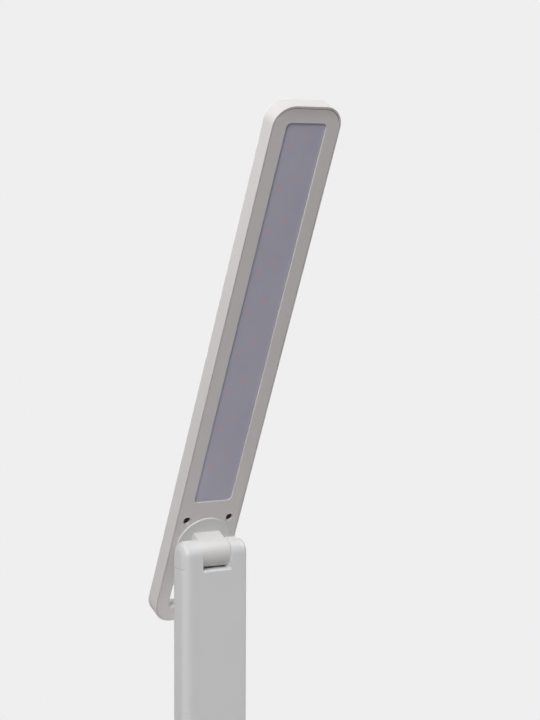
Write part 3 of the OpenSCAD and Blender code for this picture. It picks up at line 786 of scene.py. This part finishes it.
def hole_outline(out, low, high):
    """Plate of the finger hole's outline, let out by a margin."""
    return plate(HOLE_W + 2 * out, HOLE_HIGH - HOLE_LOW + 2 * out, HOLE_R + out, low, high,
                 (0, (HOLE_LOW + HOLE_HIGH) / 2), 8)


def window_outline(out, corner, low, high):
    """Plate of the light window's outline, let out by a margin."""
    return plate(WINDOW_W + 2 * out, WINDOW_HIGH - WINDOW_LOW + 2 * out, corner, low, high,
                 (0, (WINDOW_LOW + WINDOW_HIGH) / 2), 8)


def curl_end(bm):
    """Curls the head's far end slightly forward, as flat mouldings do when they cool."""
    start = HEAD_HIGH - CURL_LENGTH
    for i in range(CURL_STEPS):
        bmesh.ops.bisect_plane(bm, geom=bm.verts[:] + bm.edges[:] + bm.faces[:],
                               plane_co=(0, start + i * CURL_LENGTH / CURL_STEPS, 0),
                               plane_no=(0, 1, 0))
    for v in bm.verts:
        reach = max(0, v.co.y - start) / CURL_LENGTH
        v.co.z += CURL * reach * reach
    bmesh.ops.remove_doubles(bm, verts=bm.verts, dist=0.01)
    bmesh.ops.dissolve_degenerate(bm, dist=0.01, edges=bm.edges)


HEAD_SCREWS = [(x, HEAD_SCREW_Z) for x in (-HEAD_SCREW_X, HEAD_SCREW_X)]


def is_hole_back_edge(e):
    """True for the finger hole's edge on the head's back."""
    return at_height(-HEAD_T)(e) and all(
        abs(v.co.x) < HOLE_W / 2 + 0.05 and HOLE_LOW - 0.05 < v.co.y < HOLE_HIGH + 0.05
        for v in e.verts)


def head_shell():
    """Back shell of the head: a shallow tray with a tube round the finger hole."""
    sunk = -FLOOR_D - 0.1
    bm = head_outline(0, 0, 0, -HEAD_T, 0)
    soften(bm, at_height(-HEAD_T), BACK_EDGE_R, 6)
    soften(bm, at_height(0), FRONT_EDGE_R, 3)
    bm = carve(bm, head_outline(RIM, END_RIM, END_RIM, -BEZEL_T - 0.1, 1),
               head_outline(HEAD_WALL, HEAD_WALL, HEAD_WALL, -FLOOR_D, -1))
    bm = join(bm, hole_outline(TUBE_WALL, sunk, -HOLE_LIP - HOLE_SEAM),
              hole_outline(TUBE_FOOT, sunk, -FLOOR_D + TUBE_FOOT_T),
              *[rod(TRAY_BOSS_R, sunk, TRAY_BOSS_TOP, spot, 32) for spot in HEAD_SCREWS])
    bm = carve(bm, hole_outline(0, -HEAD_T - 1, 1),
               *[rod(TRAY_PILOT_R, -FLOOR_D + 0.4, -3, spot, 24) for spot in HEAD_SCREWS])
    soften(bm, is_hole_back_edge, HOLE_BACK_R, 8)
    curl_end(bm)
    place_piece("head_tray", bm, AT_HEAD, "head", "white_plastic", ["head_shell"],
                edge=0.22, look="head_plastic_painted_warm_light")


def head_bezel():
    """Front plate of the head with the window, the swivel bore and two screw wells."""
    bm = head_outline(RIM + SIDE_GAP, END_RIM + END_GAP, END_RIM + TAIL_GAP, -BEZEL_T, 0)
    bm = join(bm, rod(BEZEL_BOSS_R, -BEZEL_BOSS_T, -1, steps=64),
              *[rod(WELL_BOSS_R, WELL_BOSS_LOW, -1, spot, 32) for spot in HEAD_SCREWS])
    bm = carve(bm, window_outline(0, WINDOW_R, -THROUGH, THROUGH),
               hole_outline(0, -THROUGH, THROUGH),
               rod(HUB_R + 0.05, -THROUGH, THROUGH, steps=64))
    bm = carve(bm, hole_outline(TUBE_WALL + TUBE_GAP, -THROUGH, -HOLE_LIP))
    for spot in HEAD_SCREWS:
        bm = carve(bm, rod(WELL_R, WELL_LOW, THROUGH, spot, 40),
                   rod(WELL_PILOT_R, -THROUGH, THROUGH, spot, 24))
    curl_end(bm)
    place_piece("head_front_plate", bm, AT_HEAD, "head", "white_plastic",
                ["head_bezel"], edge=0.25, look="head_plastic_painted_warm_light")


def light_window():
    """Milky window plate behind the bezel, with a raised land that fills the window."""
    low = BEZEL_T + 0.05
    bm = window_outline(WINDOW_LIP, WINDOW_LIP, -low - WINDOW_T, -low)
    bm = join(bm, window_outline(-LAND_GAP, WINDOW_R - LAND_GAP, -low - 0.6, -LAND_DROP))
    place_piece("light_window", bm, AT_HEAD, "head", "milky_diffuser", ["diffuser"],
                edge=0.15)


def round_topped(low, high, r, edge):
    """Block between two corners whose top is a full round about an X axis."""
    bm = block(low, high)
    soften(bm, lambda e: at_height(high[2])(e) and runs_across(e), r, 24)
    bmesh.ops.remove_doubles(bm, verts=bm.verts, dist=0.01)
    soften(bm, lambda e: not runs_across(e)
           and all(abs(v.co.x - e.verts[0].co.x) < 0.01 for v in e.verts)
           and e.verts[0].co.z + e.verts[1].co.z > 2 * low[2] + 0.02, edge, 4)
    return bm


def barrel(foot, top, edge):
    """Neck with a round top about a hinge axis, sunk where the friction washers turn."""
    half = NOTCH_W / 2 - FLANK_GAP
    bm = round_topped((-half, -BARREL_R, foot), (half, BARREL_R, top), BARREL_R, edge)
    for side in (-1, 1):
        bm = carve(bm, rod(FLANK_R, *outward(side, BARREL_W / 2, 12),
                           (0, top - BARREL_R), axis="X"))
    return bm


def knuckle():
    """Swivel disc and neck on the upper hinge's barrel."""
    bm = barrel(0.4, FACE_Y + BARREL_R, 0.25)
    for side in (-1, 1):
        low, high = outward(side, NECK_W / 2, 12)
        beside = block((low, -BARREL_R - 1, 0.1), (high, BARREL_R + 1, FACE_Y))
        bm = carve(bm, carve(beside, rod(BARREL_R, low - 1, high + 1, (0, FACE_Y),
                                         axis="X")))
    disc = rod(DISC_R, 0.05, DISC_T, steps=96)
    soften(disc, at_height(DISC_T), 0.35, 4)
    bm = join(bm, disc, rod(HUB_R, -BEZEL_BOSS_T - 0.5, 0.5, steps=64))
    bm = carve(bm, pin_bore(FACE_Y), rod(WIRE_BORE_R, -THROUGH, FACE_Y, steps=24))
    for turn in HUB_SCREW_TURNS:
        spot = (HUB_SCREW_IN * math.cos(math.radians(turn)),
                -HUB_SCREW_IN * math.sin(math.radians(turn)))
        bm = carve(bm, rod(HUB_PILOT_R, -THROUGH, HUB_PILOT_TOP, spot, 20))
    place_piece("swivel_knuckle", bm, AT_HEAD, "knuckle", "white_plastic",
                ["hinge_knuckle"], edge=0.15, steps=2, look="knuckle_plastic_painted_warm_light")


head_shell()
head_bezel()
light_window()
knuckle()

# ---- base ----


def four(x, y):
    """The four places at plus and minus x and y."""
    return [(i, j) for i in (-x, x) for j in (-y, y)]


def base_cover():
    """Cover of the base, open below, with a collar round the hinge tower."""
    hinge_y = LOWER_HINGE.y
    bm = plate(BASE_W, BASE_D, BASE_R, COVER_Z, BASE_H, steps=22)
    soften(bm, at_height(BASE_H), TOP_EDGE_R, 10)
    inner = plate(BASE_W - 2 * WALL, BASE_D - 2 * WALL, BASE_R - WALL, COVER_Z - 1,
                  CEILING_Z, steps=22)
    soften(inner, at_height(CEILING_Z), TOP_EDGE_R - WALL, 6)
    bm = carve(bm, inner)
    collar = plate(COLLAR_W, COLLAR_D, COLLAR_R, BASE_H - 1, BASE_H + COLLAR_T,
                   (0, hinge_y), 10)
    soften(collar, at_height(BASE_H + COLLAR_T), COLLAR_EDGE_R, 6)
    bosses = four(BOSS_X, BOSS_Y)
    posts = [(x, y) for x in (-POST_X, POST_X) for y in POST_Y]
    bm = join(bm, collar,
              *[rod(BOSS_R, BOSS_LOW, CEILING_Z + 0.5, spot, 32) for spot in bosses],
              *[rod(POST_R, POST_LOW, CEILING_Z + 0.5, spot, 24) for spot in posts])
    bm = carve(bm, plate(BARREL_W + TOWER_GAP, 2 * BARREL_R + TOWER_GAP, 1, *TOP_CUT,
                         (0, hinge_y), 6),
               rod(BUTTON_R + 0.2, *TOP_CUT, (0, BUTTON_Y), 64),
               rod(LENS_R + 0.05, *TOP_CUT, (0, LENS_Y), 32))
    for spot in bosses:
        bm = carve(bm, rod(BOSS_PILOT_R, 1, BOSS_PILOT_TOP, spot, 24))
    for spot in posts:
        bm = carve(bm, rod(POST_PILOT_R, 12, POST_PILOT_TOP, spot, 20))
    inlet = plate(INLET_W, INLET_H, INLET_R, -INLET_REACH, INLET_REACH, (0, INLET_Z), 10)
    quarter_turn(inlet, "X")
    shift(inlet, 0, BASE_D / 2, 0)
    bm = carve(bm, inlet)
    place_piece("base_shell", bm, AT_BASE, "base", "white_plastic", ["base_cover"],
                edge=0.25)


def hinge_tower():
    """Screwed-down tower that carries the lower hinge barrel."""
    y, z = LOWER_HINGE.y, LOWER_HINGE.z
    tower = barrel(BALLAST_TOP, z + BARREL_R, 0.4)
    flange = plate(FLANGE_W, FLANGE_D, FLANGE_R, BALLAST_TOP, BALLAST_TOP + FLANGE_T)
    bm = join(tower, flange)
    bm = carve(bm, pin_bore(z), rod(WIRE_BORE_R, 0, z, steps=24),
               *[rod(FLANGE_SCREW_R, 0, PAST, spot, 24)
                 for spot in four(FLANGE_SCREW_X, FLANGE_SCREW_Y)])
    shift(bm, 0, y, 0)
    place_piece("tower_moulding", bm, AT_BASE, "base", "white_plastic",
                ["hinge_tower"], edge=0.2)


def power_button():
    """Round push button, slightly dished on top, with its skirt and flange."""
    bm = bmesh.new()
    dish = [(0, 18.15), (2.5, 18.17), (4.6, 18.27), (5.9, 18.44), (6.35, 18.48),
            (6.62, 18.38), (BUTTON_R, 18.1)]
    skirt = [(BUTTON_R, CEILING_Z - 0.1), (BUTTON_RING_R, CEILING_Z - 0.1),
             (BUTTON_RING_R, CEILING_Z - 1), (BUTTON_INNER_R, CEILING_Z - 1),
             (BUTTON_INNER_R, CEILING_Z), (0, CEILING_Z)]
    dots = [bm.verts.new((x, 0, z)) for x, z in dish + skirt]
    line = [bm.edges.new(pair) for pair in zip(dots, dots[1:])]
    bmesh.ops.spin(bm, geom=dots + line, cent=(0, 0, 0), axis=(0, 0, 1),
                   angle=2 * math.pi, steps=72, use_merge=True, use_duplicate=False)
    bmesh.ops.remove_doubles(bm, verts=bm.verts, dist=0.002)
    bmesh.ops.recalc_face_normals(bm, faces=bm.faces)
    shift(bm, 0, BUTTON_Y, 0)
    place_piece("push_button", bm, AT_BASE, "button", "white_plastic",
                ["power_button"], edge=0.1, steps=2, angle=50)


def base_pad():
    """Soft pad under the base, with a rounded lower edge."""
    bm = plate(BASE_W - 2 * PAD_IN, BASE_D - 2 * PAD_IN, BASE_R - PAD_IN, 0, PAD_T,
               steps=16)
    place_piece("rubber_pad", bm, AT_BASE, "base", "grey_rubber", ["base_pad"],
                edge=0.35)


base_cover()
hinge_tower()
power_button()
base_pad()

# ---- light, floor and backdrop ----

BACKDROP = (0.863, 0.863, 0.863, 1)
AMBIENT = 0.04
FLOOR_RADIUS, FLOOR_DROP = 4, 0.0001
FLOOR_NEAR = (0.85, 0.79, 0.76)
FLOOR_AWAY = (0.08, 0.08, 0.08)
# metres from the middle over which the floor's bounce and its looks fade
BOUNCE_FADE, LOOKS_FADE = (0.12, 0.45), (0.30, 0.75)


def add_area(name, place, aim, size, power):
    """White square soft box at place, pointing at aim."""
    data = bpy.data.lights.new(name, "AREA")
    data.shape = "SQUARE"
    data.size = size
    data.energy = power
    light = bpy.data.objects.new(name, data)
    bpy.context.scene.collection.objects.link(light)
    light.location = place
    light.rotation_mode = "QUATERNION"
    light.rotation_quaternion = (Vector(aim) - Vector(place)).to_track_quat("-Z", "Y")


def backdrop_ray(tree):
    """1 where the camera, a gloss or a glass looks straight at the studio."""
    path = node(tree, "LightPath").outputs
    seen = sums(tree, "MAXIMUM", path["Is Camera Ray"], path["Is Glossy Ray"])
    return sums(tree, "MAXIMUM", seen, path["Is Transmission Ray"])


def add_world():
    """Even studio light, with a pale backdrop where it is looked at."""
    world = bpy.data.worlds.new("studio")
    bpy.context.scene.world = world
    world.use_nodes = True
    tree = world.node_tree
    tree.nodes.clear()
    fill = node(tree, "Background", {"Color": (0.98, 0.99, 1, 1), "Strength": AMBIENT})
    backdrop = node(tree, "Background", {"Color": BACKDROP})
    mix = node(tree, "MixShader", {
        0: backdrop_ray(tree), 1: fill.outputs[0], 2: backdrop.outputs[0]})
    node(tree, "OutputWorld", {"Surface": mix.outputs[0]})


def add_floor():
    """Pale floor that keeps the lamp's shadow and runs out into the backdrop."""
    bm = bmesh.new()
    bmesh.ops.create_circle(bm, cap_ends=True, segments=96, radius=FLOOR_RADIUS)
    mesh = bpy.data.meshes.new("floor")
    bm.to_mesh(mesh)
    bm.free()
    floor = bpy.data.objects.new("floor", mesh)
    floor.location = (0, 0, -FLOOR_DROP)
    bpy.context.scene.collection.objects.link(floor)
    made, tree, shader, place = new_finish("pale_floor")
    shader.inputs["Roughness"].default_value = 0.8
    skin = use_group(tree, MOULDED_GRAIN, {"Vector": place, "Grain": 900.0, "Patches": 3.0})
    looked_at = between(tree, skin.outputs["Tone"], (0.80, 0.79, 0.78), (0.82, 0.81, 0.80))
    far = node(tree, "VectorMath", {0: place}, operation="LENGTH").outputs["Value"]
    bounce = between(tree, spread(tree, far, 0.0, 1.0, *BOUNCE_FADE),
                     FLOOR_NEAR, FLOOR_AWAY)
    tree.links.new(blend(tree, backdrop_ray(tree), bounce, looked_at),
                   shader.inputs["Base Color"])
    out_there = spread(tree, far, 0.0, 1.0, *LOOKS_FADE)
    blank = node(tree, "Emission", {"Color": BACKDROP, "Strength": 1.0})
    mix = node(tree, "MixShader", {
        0: sums(tree, "MULTIPLY", out_there, backdrop_ray(tree)),
        1: shader.outputs[0], 2: blank.outputs[0]})
    end = next(n for n in tree.nodes if n.type == "OUTPUT_MATERIAL")
    tree.links.new(mix.outputs[0], end.inputs["Surface"])
    mesh.materials.append(made)


add_world()
add_floor()
add_area("top_right_box", (1.1, -0.4, 1.7), (0, 0, 0.35), 0.9, 5.9)
add_area("right_box", (1.0, -0.1, 0.9), (0, 0.05, 0.3), 0.6, 4.6)
add_area("near_left_box", (-0.42, 0.1, 0.85), (0, 0, 0.45), 0.3, 1.0)
add_area("front_left_box", (-1.0, -1.0, 1.3), (0, 0, 0.37), 0.6, 18.4)
add_area("back_box", (0.3, 1.1, 0.7), (0, 0, 0.3), 0.8, 7.5)

bpy.context.scene.view_settings.view_transform = "Standard"
